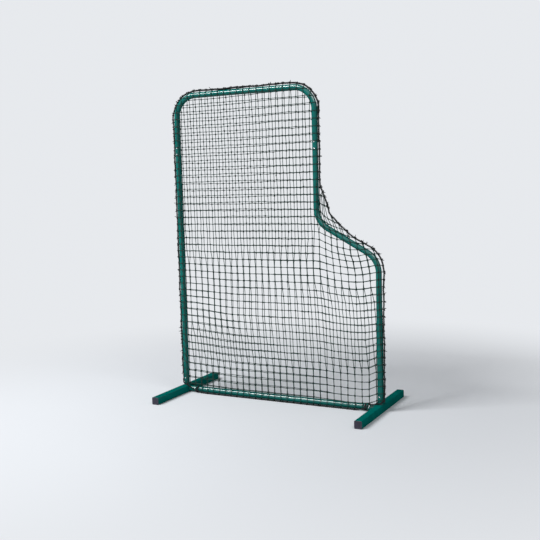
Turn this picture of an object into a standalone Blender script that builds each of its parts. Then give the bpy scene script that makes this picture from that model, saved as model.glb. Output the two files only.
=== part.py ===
"""Pitching screen: a free-standing tube frame with a sloping throwing notch and a pillowcase net.

Metres, +Z up. The origin lies on the ground, midway between the outer uprights, in the frame's plane.
The side that carries the spring buttons faces -Y, and the notch is at the upper +X corner.
"""

import math

import bmesh
import bpy
import numpy as np

INCH = 0.0254

# Frame
SCREEN_HEIGHT = 84 * INCH
SCREEN_WIDTH = 60 * INCH
UPPER_WIDTH = 43.25 * INCH
HOOP_DEPTH = 15.75 * INCH
TUBE_DIAMETER = 1.5 * INCH
TUBE_WALL = 0.065 * INCH
BEND_RADIUS = 6 * INCH
SLOPE_CORNER_HEIGHT = 1.2347
SLOPE_ANGLE = math.radians(29.5)
FIT_GAP = 0.0003
SPLICE_GAP = 0.0005

# Feet
FOOT_LENGTH = 32 * INCH
FOOT_SIZE = 2 * INCH
FOOT_WALL = 0.083 * INCH
FOOT_CORNER = 0.006
CAP_FLANGE = 0.0025
CAP_PLUG_DEPTH = 0.018
CAP_WALL = 0.002
CAP_POCKET_CORNER = 0.0005

# Inner tubes of the joints
INNER_WALL = 0.065 * INCH
SLEEVE_LENGTH = 0.200
SPIGOT_LENGTH = 0.100
WELD_BEAD = 0.003
WELD_CLEARANCE = 0.0015

# Spring buttons
BUTTON_DIAMETER = 0.0092
BUTTON_PROUD = 0.0032
BUTTON_CROWN = 0.0034
# The crown's round edge: share of the button's radius, share of the crown's height below its top
BUTTON_EDGE = [(0.55, 0.16), (0.87, 0.5)]
SPLICE_BUTTON_REACH = 0.0215
FOOT_BUTTON_REACH = 0.050
RAIL_BUTTON_REACH = 0.050
LEAF_THICKNESS = 0.0008
LEAF_WIDTH = 0.010
LEAF_LENGTH = 0.042
LEAF_FLAT = 0.007
LEAF_BEND_RADIUS = 0.004

# Net, with one modelled strand for every few strands of the real mesh
MESH_SIZE = 0.0485
MESHES_PER_CELL = 4
STRAND_WIDTH = 0.004
NET_THICKNESS = 0.0024
NET_RIM = 0.012
HEM_WIDTH = 0.008
CORNER_RIM = 0.006
BUTTON_ROOM = 0.003
NET_FLOOR_GAP = 0.0025
NET_FOOT_GAP = 0.0008
CORNER_CUT = 0.0347

# Cords
BORDER_CORD_DIAMETER = 0.25 * INCH
SIDE_STANDOFF = 0.026
GROUND_RUN_HEIGHT = 0.0045
TIE_CORD_DIAMETER = 0.003
TIE_PITCH = 0.0038
TIE_TURNS = 2.5
TIE_INSET = 0.1005
TIE_ROPE_HEIGHT = 0.0170

# The border cord's stand-off from the tubes' centreline through the notch. The place counts 0 at the
# start of the lead above the upper bend, 1 and 2 at that bend's ends, 3 and 4 at the lower bend's ends
# and 5 at the end of the lead below it.
LEAD_ABOVE = 0.140
LEAD_BELOW = 0.100
LEAD_ABOVE_SHARES = (0.0, 0.3, 0.67)
SLOPE_SHARES = (0.11, 0.22, 0.36, 0.5, 0.75)
LEAD_BELOW_SHARES = (0.5, 1.0)
NOTCH_STANDOFFS = [
    (0.0, SIDE_STANDOFF), (0.3, 0.045), (0.67, 0.066), (1.0, 0.082), (1.5, 0.084), (2.0, 0.078),
    (2.22, 0.057), (2.36, 0.048), (2.5, 0.041), (2.75, 0.037), (3.0, 0.040), (3.5, 0.034),
    (4.0, 0.033), (5.0, SIDE_STANDOFF),
]

# The border cord's turn round an upright's foot: degrees round from the outer side towards the front,
# distance from the upright's axis, height over the foot.
FOOT_TURN = [
    (0, SIDE_STANDOFF, 0.0600), (0, SIDE_STANDOFF, 0.0340), (12, 0.0256, 0.0265), (35, 0.0240, 0.0187),
    (62, 0.0232, 0.0127), (90, 0.0231, 0.0089), (112, 0.0240, 0.0066),
]
# From there it runs down before the rail: distance inwards from the upright's axis, height over the ground.
# On the left it slants down at once, and on the right it keeps above the rail's button as far as the tie.
FOOT_EDGE_DROP = [(0.0205, 0.0560)]
LEFT_DROP = [(0.0300, 0.0505), (0.0420, 0.0425), (0.0564, 0.0340), (0.0754, 0.0260)]
RIGHT_DROP = [(0.0300, 0.0520), (0.0450, 0.0510), (0.0620, 0.0500), (0.0770, 0.0440), (0.0850, 0.0290)]
TIE_DROP = [(0.0905, TIE_ROPE_HEIGHT), (0.1110, TIE_ROPE_HEIGHT), (0.1330, 0.0095), (0.1600, 0.0055)]
GROUND_RUN_INSET = 0.190

# Facets
TUBE_BEVEL_RESOLUTION = 8
TUBE_SIDES = 4 + 2 * TUBE_BEVEL_RESOLUTION
HOOP_BEND_STEPS = 8
NOTCH_BEND_STEPS = 6
BUTTON_SIDES = 12
CORD_BEVEL_RESOLUTION = 2
TIE_BEVEL_RESOLUTION = 1
PILLOW_BEVEL_RESOLUTION = 3
CORNER_STEPS = 3
LEAF_BEND_STEPS = 4
TIE_ARC_STEPS = 4
WELD_DISTANCE = 0.00001
SHARP_ANGLE = math.radians(35)
FLAT_ANGLE = math.radians(0.05)
FAR = 0.2

# Sizes that follow from the driving dimensions
tube_radius = TUBE_DIAMETER / 2
tube_bore = tube_radius - TUBE_WALL
outer_x = (SCREEN_WIDTH - TUBE_DIAMETER) / 2
upper_x = UPPER_WIDTH - TUBE_DIAMETER - outer_x
top_z = SCREEN_HEIGHT - tube_radius
splice_z = SCREEN_HEIGHT - HOOP_DEPTH
bend_turn = math.pi / 2 - SLOPE_ANGLE
bend_tangent = BEND_RADIUS * math.tan(bend_turn / 2)
upper_bend_z = SLOPE_CORNER_HEIGHT + bend_tangent
lower_bend_z = SLOPE_CORNER_HEIGHT - (outer_x - upper_x) * math.tan(SLOPE_ANGLE) - bend_tangent
foot_top = FOOT_SIZE
foot_inner_x = outer_x - FOOT_SIZE / 2
rail_z = FOOT_SIZE / 2
tube_end_gap = WELD_BEAD + WELD_CLEARANCE
inner_radius = tube_bore - FIT_GAP
inner_bore = inner_radius * math.cos(math.pi / TUBE_SIDES) - INNER_WALL
leaf_depth = math.sqrt(inner_bore**2 - (LEAF_WIDTH / 2) ** 2) - FIT_GAP
button_base = leaf_depth + FIT_GAP
button_radius = BUTTON_DIAMETER / 2
button_height = tube_radius + BUTTON_PROUD - button_base
hole_radius = (button_radius + FIT_GAP) / math.cos(math.pi / BUTTON_SIDES)
cord_radius = BORDER_CORD_DIAMETER / 2
net_inner_radius = (tube_radius + FIT_GAP) / math.cos(math.pi / (4 * (PILLOW_BEVEL_RESOLUTION + 1)))
net_outer_radius = net_inner_radius + NET_THICKNESS
net_slot = cord_radius + FIT_GAP
front_lie = net_outer_radius + cord_radius + 2 * FIT_GAP
net_corner_z = foot_top + CORNER_CUT
cell_size = MESH_SIZE * MESHES_PER_CELL


def clear_scene():
    for obj in list(bpy.data.objects):
        bpy.data.objects.remove(obj, do_unlink=True)


def new_collection(name, hidden=False):
    made = bpy.data.collections.new(name)
    bpy.context.scene.collection.children.link(made)
    made.hide_render = hidden
    return made


def new_material(name, colour, roughness, metallic):
    made = bpy.data.materials.new(name)
    made.use_nodes = True
    shader = made.node_tree.nodes["Principled BSDF"]
    shader.inputs["Base Color"].default_value = (*colour, 1.0)
    shader.inputs["Roughness"].default_value = roughness
    shader.inputs["Metallic"].default_value = metallic
    made.diffuse_color = (*colour, 1.0)
    return made


clear_scene()
PARTS = new_collection("pitching_screen")
CUTTERS = new_collection("cutters", hidden=True)
GREEN_PAINT = new_material("green_gloss_paint", (0.0, 0.095, 0.085), 0.25, 0.0)
BLACK_PLASTIC = new_material("black_plastic", (0.012, 0.011, 0.018), 0.45, 0.0)
BRIGHT_STEEL = new_material("bright_steel", (0.62, 0.62, 0.63), 0.2, 1.0)
BARE_STEEL = new_material("bare_steel", (0.32, 0.33, 0.34), 0.4, 1.0)
NET_TWINE = new_material("net_twine", (0.010, 0.014, 0.011), 0.8, 0.0)
BLACK_CORD = new_material("black_cord", (0.012, 0.010, 0.014), 0.75, 0.0)


def place(name, data, material=None, location=(0, 0, 0), rotation=(0, 0, 0)):
    """Adds an object to the parts, or to the cutters where it has no material."""
    obj = bpy.data.objects.new(name, data)
    obj.location = location
    obj.rotation_euler = rotation
    if material:
        PARTS.objects.link(obj)
        if not data.materials:
            data.materials.append(material)
    else:
        CUTTERS.objects.link(obj)
        obj.hide_render = True
        obj.display_type = "WIRE"
    return obj


def line(name, points, radius=0.0, resolution=0, closed=False, flat=True):
    """A curve through points. A flat one holds (x, z) points, and stands up when it turns by UPRIGHT."""
    curve = bpy.data.curves.new(name, "CURVE")
    curve.dimensions = "2D" if flat else "3D"
    curve.fill_mode = "NONE" if flat else "FULL"
    curve.bevel_depth = radius
    curve.bevel_resolution = resolution
    curve.use_fill_caps = not flat
    spline = curve.splines.new("POLY")
    spline.points.add(len(points) - 1)
    for vertex, point in zip(spline.points, points):
        vertex.co = (*point, *([0.0] * (3 - len(point))), 1.0)
    spline.use_cyclic_u = closed
    return curve


def meshed(data, modify=None, closed_solid=True):
    """The mesh that Blender makes of a curve or a mesh, with the modifiers that modify adds to it."""
    holder = bpy.data.objects.new(data.name, data)
    CUTTERS.objects.link(holder)
    if modify:
        modify(holder)
    graph = bpy.context.evaluated_depsgraph_get()
    mesh = bpy.data.meshes.new_from_object(holder.evaluated_get(graph))
    mesh.name = data.name
    bpy.data.objects.remove(holder)
    welded = bmesh.new()
    welded.from_mesh(mesh)
    bmesh.ops.remove_doubles(welded, verts=welded.verts, dist=WELD_DISTANCE)
    if closed_solid:
        bmesh.ops.recalc_face_normals(welded, faces=welded.faces)
    welded.to_mesh(mesh)
    welded.free()
    mesh.shade_smooth()
    mesh.set_sharp_from_angle(angle=SHARP_ANGLE)
    return mesh


def add_wall(obj, thickness, offset=-1.0):
    wall = obj.modifiers.new("wall", "SOLIDIFY")
    wall.thickness = thickness
    wall.offset = offset
    wall.use_even_offset = True


def add_boolean(obj, other, operation="DIFFERENCE"):
    joined = obj.modifiers.new(other.name, "BOOLEAN")
    joined.operation = operation
    joined.solver = "EXACT"
    joined.object = other


UPRIGHT = (math.pi / 2, 0, 0)


def arc(centre, radius, start, end, steps):
    """Points round a centre, with the direction of each from it, at angles in radians."""
    angles = np.linspace(start, end, steps + 1)
    return [
        (centre[0] + radius * math.cos(a), centre[1] + radius * math.sin(a), math.cos(a), math.sin(a))
        for a in angles
    ]


# The frame's bends, as (x, z) points with their outward directions
hoop_bend_z = top_z - BEND_RADIUS
left_bend = arc((-outer_x + BEND_RADIUS, hoop_bend_z), BEND_RADIUS, math.pi, math.pi / 2, HOOP_BEND_STEPS)
right_bend = arc((upper_x - BEND_RADIUS, hoop_bend_z), BEND_RADIUS, math.pi / 2, 0, HOOP_BEND_STEPS)
notch_centre = (upper_x + BEND_RADIUS, upper_bend_z)
notch_bend = [
    (x, z, -away_x, -away_z)
    for x, z, away_x, away_z in arc(notch_centre, BEND_RADIUS, math.pi, math.pi + bend_turn, NOTCH_BEND_STEPS)
]
lower_bend = arc((outer_x - BEND_RADIUS, lower_bend_z), BEND_RADIUS, bend_turn, 0, NOTCH_BEND_STEPS)


def hollow_tube(name, points):
    """A round tube along (x, z) points, open at both ends, with its origin at its first point."""
    first = points[0]
    route = [(x - first[0], z - first[1]) for x, z, *_ in points]
    skin = meshed(line(name, route, tube_radius, TUBE_BEVEL_RESOLUTION), closed_solid=False)
    tube = place(name, skin, GREEN_PAINT, (first[0], 0, first[1]), UPRIGHT)
    add_wall(tube, TUBE_WALL)
    return tube


def frame_tubes():
    half_gap = SPLICE_GAP / 2
    foot_end = foot_top + tube_end_gap
    rail_end = foot_inner_x - tube_end_gap
    hoop = [(-outer_x, splice_z + half_gap), *left_bend, *right_bend, (upper_x, splice_z + half_gap)]
    right = [(upper_x, splice_z - half_gap), *notch_bend, *lower_bend, (outer_x, foot_end)]
    return {
        "top_hoop": hollow_tube("top_hoop", hoop),
        "left_upright": hollow_tube("left_upright", [(-outer_x, foot_end), (-outer_x, splice_z - half_gap)]),
        "right_upright": hollow_tube("right_upright", right),
        "bottom_rail": hollow_tube("bottom_rail", [(-rail_end, rail_z), (rail_end, rail_z)]),
    }


def turned(name, profile, steps, closed_profile=False):
    """A body turned about its own Z axis from (radius, height) points that run down its outer side."""
    mesh = bpy.data.meshes.new(name)
    edges = [(i, i + 1) for i in range(len(profile) - 1)]
    if closed_profile:
        edges.append((len(profile) - 1, 0))
    mesh.from_pydata([(radius, 0, height) for radius, height in profile], edges, [])

    def turn(holder):
        screw = holder.modifiers.new("turn", "SCREW")
        screw.steps = steps
        screw.render_steps = steps
        screw.use_merge_vertices = True
        screw.merge_threshold = WELD_DISTANCE

    return meshed(mesh, turn)


def inner_tubes():
    """The sleeves in the splices, and the spigots that the feet carry for the uprights and the rail."""
    inside = inner_radius - INNER_WALL
    half = SLEEVE_LENGTH / 2
    sleeve_profile = [(inner_radius, half), (inner_radius, -half), (inside, -half), (inside, half)]
    sleeve = turned("sleeve", sleeve_profile, TUBE_SIDES, closed_profile=True)
    half_bead = WELD_BEAD / 2
    spigot_profile = [
        (inner_radius, SPIGOT_LENGTH), (inner_radius, WELD_BEAD), (inner_radius + half_bead, half_bead),
        (inner_radius + WELD_BEAD, 0), (inside, 0), (inside, SPIGOT_LENGTH),
    ]
    spigot = turned("spigot", spigot_profile, TUBE_SIDES, closed_profile=True)
    made = {}
    for side, name, splice_x in ((-1, "left", -outer_x), (1, "right", upper_x)):
        sleeve_name = f"{name}_splice_sleeve"
        made[sleeve_name] = place(sleeve_name, sleeve.copy(), BARE_STEEL, (splice_x, 0, splice_z))
        post_name = f"{name}_foot_post"
        post_place = (side * outer_x, 0, foot_top + FIT_GAP)
        made[post_name] = place(post_name, spigot.copy(), GREEN_PAINT, post_place)
        stub_name = f"{name}_rail_stub"
        stub_place = (side * (foot_inner_x - FIT_GAP), 0, rail_z)
        stub_turn = (0, -side * math.pi / 2, 0)
        made[stub_name] = place(stub_name, spigot.copy(), GREEN_PAINT, stub_place, stub_turn)
    return made


def rounded_square(size, corner):
    """Corner points of a square with rounded corners, round its centre."""
    middle = size / 2 - corner
    points = []
    for quarter in range(4):
        turn = quarter * math.pi / 2
        centre_x = middle * (math.cos(turn) - math.sin(turn))
        centre_z = middle * (math.sin(turn) + math.cos(turn))
        rounded = arc((centre_x, centre_z), corner, turn, turn + math.pi / 2, CORNER_STEPS)
        points += [(x, z) for x, z, *_ in rounded]
    return points


def flat_plate(name, outline, thickness, fill=True):
    """An outline extruded along its own Z axis, filled or as an open wall."""
    plate = line(name, outline, closed=True)
    plate.extrude = thickness / 2
    if fill:
        plate.fill_mode = "BOTH"
    return meshed(plate, closed_solid=fill)


def foot_cap():
    """A flange over the tube's end and a hollow plug inside it. Its own -Z side faces out of the tube."""
    flange_outline = rounded_square(FOOT_SIZE - 2 * FIT_GAP, FOOT_CORNER - FIT_GAP)
    flange = flat_plate("foot_cap", flange_outline, CAP_FLANGE)
    plug_size = FOOT_SIZE - 2 * (FOOT_WALL + FIT_GAP)
    plug_corner = FOOT_CORNER - FOOT_WALL - FIT_GAP
    sunk = CAP_FLANGE / 2
    plug_length = CAP_PLUG_DEPTH + sunk
    plug_middle = CAP_FLANGE / 2 + CAP_PLUG_DEPTH - plug_length / 2
    wall = flat_plate("cap_plug", rounded_square(plug_size, plug_corner), plug_length)
    plug = place("cap_plug", wall, location=(0, 0, plug_middle))
    pocket_size = plug_size - 2 * CAP_WALL
    pocket_corner = max(plug_corner - CAP_WALL, CAP_POCKET_CORNER)
    hollow = flat_plate("cap_pocket", rounded_square(pocket_size, pocket_corner), plug_length)
    pocket = place("cap_pocket", hollow, location=(0, 0, plug_middle + sunk))

    def shape(holder):
        add_boolean(holder, plug, "UNION")
        add_boolean(holder, pocket)

    return meshed(flange, shape)


def feet():
    cap = foot_cap()
    cap_place = FOOT_LENGTH / 2 - CAP_FLANGE / 2
    tube_length = FOOT_LENGTH - 2 * (CAP_FLANGE + FIT_GAP)
    outline = rounded_square(FOOT_SIZE, FOOT_CORNER)
    for side, name in ((-1, "left"), (1, "right")):
        skin = flat_plate(f"{name}_foot_tube", outline, tube_length, fill=False)
        middle = (side * outer_x, 0, FOOT_SIZE / 2)
        tube = place(f"{name}_foot_tube", skin, GREEN_PAINT, middle, UPRIGHT)
        add_wall(tube, FOOT_WALL)
        for end, end_name, turn in ((-1, "front", -math.pi / 2), (1, "rear", math.pi / 2)):
            at = (side * outer_x, end * cap_place, FOOT_SIZE / 2)
            place(f"{name}_foot_{end_name}_cap", cap.copy(), BLACK_PLASTIC, at, (turn, 0, 0))


def button_seats():
    """Each button's name, the point on its tube's axis, the turn of its leaf, and the two tubes it locks."""
    up, down, left, right = -math.pi / 2, math.pi / 2, math.pi, 0
    foot_z = foot_top + FOOT_BUTTON_REACH
    rail_x = foot_inner_x - RAIL_BUTTON_REACH
    high = splice_z + SPLICE_BUTTON_REACH
    low = splice_z - SPLICE_BUTTON_REACH
    seats = []
    for side, sign, splice_x, away in (("left", -1, -outer_x, left), ("right", 1, upper_x, right)):
        upright = f"{side}_upright"
        sleeve = f"{side}_splice_sleeve"
        seats.append((f"{side}_splice_upper_button", splice_x, high, up, "top_hoop", sleeve))
        seats.append((f"{side}_splice_lower_button", splice_x, low, down, upright, sleeve))
        seats.append((f"{side}_foot_button", sign * outer_x, foot_z, down, upright, f"{side}_foot_post"))
        seats.append((f"{side}_rail_button", sign * rail_x, rail_z, away, "bottom_rail", f"{side}_rail_stub"))
    return seats


def button_mesh():
    edge = [(button_radius * reach, button_height - BUTTON_CROWN * drop) for reach, drop in BUTTON_EDGE]
    side = [(button_radius, button_height - BUTTON_CROWN), (button_radius, 0)]
    return turned("button", [(0, button_height), *edge, *side, (0, 0)], BUTTON_SIDES)


def leaf_mesh():
    """A hairpin of flat strip: the button stands on one leg, and the other bears on the far wall."""
    depth = leaf_depth - LEAF_THICKNESS / 2
    bend_centre = LEAF_LENGTH - LEAF_BEND_RADIUS
    hairpin = arc((bend_centre, 0), LEAF_BEND_RADIUS, -math.pi / 2, math.pi / 2, LEAF_BEND_STEPS)
    route = [(-LEAF_FLAT, -depth), (LEAF_FLAT, -depth), *[(x, y) for x, y, *_ in hairpin]]
    route += [(LEAF_FLAT, depth), (-LEAF_FLAT, depth)]
    strip = line("leaf", route)
    strip.extrude = LEAF_WIDTH / 2

    def thicken(holder):
        add_wall(holder, LEAF_THICKNESS, 0.0)

    return meshed(meshed(strip, closed_solid=False), thicken)


def cylinder(name, radius, length, sides):
    made = bmesh.new()
    bmesh.ops.create_cone(made, cap_ends=True, segments=sides, radius1=radius, radius2=radius, depth=length)
    mesh = bpy.data.meshes.new(name)
    made.to_mesh(mesh)
    made.free()
    return mesh


def buttons(tubes):
    """Adds the buttons and their leaf springs, and bores their holes through the front walls."""
    button = button_mesh()
    leaf = leaf_mesh()
    bore_length = tube_radius
    bore = cylinder("button_hole", hole_radius, bore_length, BUTTON_SIDES)
    for name, x, z, turn, outer_tube, inner_tube in button_seats():
        place(name, button.copy(), BRIGHT_STEEL, (x, -button_base, z), UPRIGHT)
        place(f"{name}_spring", leaf.copy(), BARE_STEEL, (x, 0, z), (0, turn, 0))
        hole = place(f"{name}_hole", bore, location=(x, -tube_radius, z), rotation=UPRIGHT)
        add_boolean(tubes[outer_tube], hole)
        add_boolean(tubes[inner_tube], hole)


def frame_stations():
    """Points of the frame's outline with their outward directions and the border cord's stand-off there."""
    places, standoffs = zip(*NOTCH_STANDOFFS)

    def notch_station(station, position):
        return (*station, float(np.interp(position, places, standoffs)))

    def bend_stations(bend, first):
        steps = len(bend) - 1
        return [notch_station(station, first + i / steps) for i, station in enumerate(bend)]

    stations = [(-outer_x, net_corner_z, -1, 0, SIDE_STANDOFF)]
    stations += [(*station, SIDE_STANDOFF) for station in (*left_bend, *right_bend)]
    for share in LEAD_ABOVE_SHARES:
        z = upper_bend_z + LEAD_ABOVE * (1 - share)
        stations.append(notch_station((upper_x, z, 1, 0), share))
    stations += bend_stations(notch_bend, 1)
    start, end = notch_bend[-1], lower_bend[0]
    for share in SLOPE_SHARES:
        x = start[0] + share * (end[0] - start[0])
        z = start[1] + share * (end[1] - start[1])
        stations.append(notch_station((x, z, *start[2:]), 2 + share))
    stations += bend_stations(lower_bend, 3)
    for share in LEAD_BELOW_SHARES:
        z = lower_bend_z - LEAD_BELOW * share
        stations.append(notch_station((outer_x, z, 1, 0), 4 + share))
    stations.append((outer_x, net_corner_z, 1, 0, SIDE_STANDOFF))
    return stations


def net_line(stations, inset):
    """The border cord's line drawn in by an inset, as (x, z) points."""
    return [
        (x + away_x * (standoff - inset), z + away_z * (standoff - inset))
        for x, z, away_x, away_z, standoff in stations
    ]


def between(points):
    """The middles of a line's stretches, so that a cutter's corners keep off those of what it cuts."""
    return [((x1 + x2) / 2, (z1 + z2) / 2) for (x1, z1), (x2, z2) in zip(points, points[1:])]


def pillow(name, outline, radius):
    """A solid with flat faces at that radius before and behind the outline, and a round edge beyond it.

    Each flat side becomes one face, so that no thin fill triangle lies along a cell's edge.
    """
    curve = line(name, outline, radius, PILLOW_BEVEL_RESOLUTION, closed=True)
    curve.fill_mode = "BOTH"
    mesh = meshed(curve)
    whole_faces = bmesh.new()
    whole_faces.from_mesh(mesh)
    bmesh.ops.dissolve_limit(
        whole_faces, angle_limit=FLAT_ANGLE, verts=whole_faces.verts, edges=whole_faces.edges
    )
    whole_faces.to_mesh(mesh)
    whole_faces.free()
    return mesh


def clear_of_buttons(strand, button_places):
    """A strand's place, moved beside any button that it would cross."""
    room = STRAND_WIDTH / 2 + button_radius + BUTTON_ROOM
    for button_place in button_places:
        if abs(strand - button_place) < room:
            strand = button_place + math.copysign(room, strand - button_place)
    return strand


def strand_places(middle, low, high, button_places):
    """Places of the strands, half a cell either side of the middle and on at every cell."""
    first = math.ceil((low - middle) / cell_size - 0.5)
    last = math.floor((high - middle) / cell_size - 0.5)
    strands = [middle + (i + 0.5) * cell_size for i in range(first, last + 1)]
    return [clear_of_buttons(strand, button_places) for strand in strands]


def cell_cutter(region):
    """Boxes through both layers between the strands, kept inside a region."""
    seats = button_seats()
    columns = strand_places(0, -outer_x, outer_x, [x for _, x, *_ in seats])
    rows = strand_places(splice_z, HEM_WIDTH, SCREEN_HEIGHT - NET_RIM, [z for _, _, z, *_ in seats])
    columns = [-outer_x - FAR, *columns, outer_x + FAR]
    rows = [-FAR, *rows, SCREEN_HEIGHT + FAR]
    boxes = bmesh.new()
    for left, right in zip(columns, columns[1:]):
        for low, high in zip(rows, rows[1:]):
            size = (right - left - STRAND_WIDTH, 2 * FAR, high - low - STRAND_WIDTH)
            cube = bmesh.ops.create_cube(boxes, size=1)["verts"]
            bmesh.ops.scale(boxes, vec=size, verts=cube)
            bmesh.ops.translate(boxes, vec=((left + right) / 2, 0, (low + high) / 2), verts=cube)
    mesh = bpy.data.meshes.new("net_cells")
    boxes.to_mesh(mesh)
    boxes.free()
    cells = place("net_cells", mesh)
    add_boolean(cells, place("net_cell_region", region, rotation=UPRIGHT), "INTERSECT")
    return cells


def net_panels():
    """Two layers, each a thin skin that hangs before or behind the frame and turns in round its edge."""
    stations = frame_stations()
    inner_edge = foot_inner_x - NET_FOOT_GAP

    def standing(inset, low):
        """The net's line, carried down to a height with points close to its sharp corners."""
        points = net_line(stations, inset)
        left, right = points[0][0], points[-1][0]
        return [(left, low), *points, (right, low)]

    outline = standing(net_outer_radius, -FAR)
    outer = pillow("net", outline, net_outer_radius)
    inner = place("net_inside", pillow("net_inside", outline, net_inner_radius), rotation=UPRIGHT)

    hem_top = NET_FLOOR_GAP + HEM_WIDTH
    region_side = inner_edge - CORNER_RIM
    region_low = net_corner_z + CORNER_RIM
    cells_outline = [
        (-region_side, hem_top), (-region_side, region_low), (-outer_x - SIDE_STANDOFF + NET_RIM, region_low),
        *between(net_line(stations, NET_RIM)),
        (outer_x + SIDE_STANDOFF - NET_RIM, region_low), (region_side, region_low), (region_side, hem_top),
    ]
    cells = cell_cutter(flat_plate("net_cell_region", cells_outline, 2 * FAR - FIT_GAP))

    tie_half = TIE_PITCH * TIE_TURNS / 2 + TIE_CORD_DIAMETER
    tie_x = outer_x - TIE_INSET
    slot_top = hem_top + FIT_GAP
    floor_line = [(-outer_x - FAR, net_corner_z), (-inner_edge, net_corner_z), (-inner_edge, NET_FLOOR_GAP)]
    for side in (-1, 1):
        near, far = side * tie_x - tie_half, side * tie_x + tie_half
        floor_line += [(near, NET_FLOOR_GAP), (near, slot_top), (far, slot_top), (far, NET_FLOOR_GAP)]
    floor_line += [(inner_edge, NET_FLOOR_GAP), (inner_edge, net_corner_z), (outer_x + FAR, net_corner_z)]
    floor_line += [(outer_x + FAR, -2 * FAR), (-outer_x - FAR, -2 * FAR)]
    floor = place("net_floor_line", flat_plate("net_floor_line", floor_line, FAR), rotation=UPRIGHT)

    for side, name in ((-1, "front"), (1, "rear")):
        block_size = (2 * (SCREEN_WIDTH + FAR), FAR, 2 * (SCREEN_HEIGHT + FAR))
        block = bmesh.new()
        cube = bmesh.ops.create_cube(block, size=1)["verts"]
        bmesh.ops.scale(block, vec=block_size, verts=cube)
        mesh = bpy.data.meshes.new(f"net_{name}_half")
        block.to_mesh(mesh)
        block.free()
        half = place(f"net_{name}_half", mesh, location=(0, -side * (FAR / 2 - net_slot), 0))
        panel = place(f"net_{name}_panel", outer.copy(), NET_TWINE, rotation=UPRIGHT)
        for cutter in (floor, half, inner, cells):
            add_boolean(panel, cutter)


def border_cord():
    """The cord that joins the layers: up the sides, over the notch, round each foot and along the ground."""

    def foot_turn(side, drop):
        points = []
        for degrees, reach, height in FOOT_TURN:
            angle = math.radians(degrees)
            x = side * (outer_x + reach * math.cos(angle))
            points.append((x, -reach * math.sin(angle), foot_top + height))
        for inset, height in (*FOOT_EDGE_DROP, *drop, *TIE_DROP, (GROUND_RUN_INSET, GROUND_RUN_HEIGHT)):
            points.append((side * (outer_x - inset), -front_lie, height))
        return points

    over = [(x, 0, z) for x, z in net_line(frame_stations()[1:-1], 0)]
    route = [*reversed(foot_turn(-1, LEFT_DROP)), *over, *foot_turn(1, RIGHT_DROP)]
    cord = line("net_border_cord", route, cord_radius, CORD_BEVEL_RESOLUTION, closed=True, flat=False)
    place("net_border_cord", meshed(cord), BLACK_CORD)


def rear_hem_cord():
    half = [*LEFT_DROP, *TIE_DROP, (GROUND_RUN_INSET, GROUND_RUN_HEIGHT)]
    left = [(inset - outer_x, front_lie, height) for inset, height in half]
    right = [(outer_x - inset, front_lie, height) for inset, height in reversed(half)]
    cord = line("net_rear_hem_cord", left + right, cord_radius, CORD_BEVEL_RESOLUTION, flat=False)
    place("net_rear_hem_cord", meshed(cord), BLACK_CORD)


def tie_turn():
    """One turn of a lashing round the rail and the two cords at its sides, as (y, z) points."""
    tie_radius = TIE_CORD_DIAMETER / 2
    rope_drop = rail_z - TIE_ROPE_HEIGHT
    spread = math.hypot(front_lie, rope_drop)
    rail_reach = tube_radius + FIT_GAP + tie_radius
    rope_reach = cord_radius + FIT_GAP + tie_radius
    tangent = math.acos((rail_reach - rope_reach) / spread)
    slope = math.atan2(rope_drop, front_lie)
    upper = tangent - slope
    lower = tangent + slope
    rail = (0, rail_z)
    front = (-front_lie, TIE_ROPE_HEIGHT)
    rear = (front_lie, TIE_ROPE_HEIGHT)
    turn = []
    for centre, reach, start, end, steps in (
        (rail, rail_reach, upper, math.pi - upper, TIE_ARC_STEPS),
        (front, rope_reach, math.pi - upper, math.pi + lower, TIE_ARC_STEPS),
        (rail, rail_reach, math.pi + lower, 2 * math.pi - lower, 1),
        (rear, rope_reach, 2 * math.pi - lower, 2 * math.pi + upper, TIE_ARC_STEPS),
    ):
        outside = reach / math.cos((end - start) / (2 * steps))
        turn += [(y, z) for y, z, *_ in arc(centre, outside, start, end, steps)]
    return turn


def least_self_gap(points, radius, neighbours):
    """The least distance between the tube's surfaces at points that lie some places apart along it."""
    points = np.array(points)
    apart = np.linalg.norm(points[:, None] - points[None], axis=2)
    order = np.arange(len(points))
    far = np.abs(order[:, None] - order[None]) >= neighbours
    return apart[far].min() - 2 * radius


def rail_ties():
    turn = tie_turn()
    count = int(TIE_TURNS * len(turn))
    loops = [turn[i % len(turn)] for i in range(count)]
    run = TIE_PITCH * TIE_TURNS
    route = [(run * (i / (count - 1) - 0.5), y, z - rail_z) for i, (y, z) in enumerate(loops)]
    gap = least_self_gap(route, TIE_CORD_DIAMETER / 2, len(turn) // 2)
    print(f"rail tie: {count} points, least gap to itself {1000 * gap:.2f} mm")
    tie = meshed(line("rail_tie", route, TIE_CORD_DIAMETER / 2, TIE_BEVEL_RESOLUTION, flat=False))
    for side, name in ((-1, "left"), (1, "right")):
        place(f"{name}_rail_tie", tie.copy(), BLACK_CORD, (side * (outer_x - TIE_INSET), 0, rail_z))


tubes = frame_tubes()
tubes.update(inner_tubes())
feet()
buttons(tubes)
net_panels()
border_cord()
rear_hem_cord()
rail_ties()
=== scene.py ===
"""A pitching screen: gloss green tube frame, a knotted net in two layers, its border cord and lashings."""

from math import acos, asin, atan2, ceil, cos, hypot, pi, radians, sin, tan

import bmesh
import bpy
import numpy as np
from mathutils import Matrix, Vector


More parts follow.
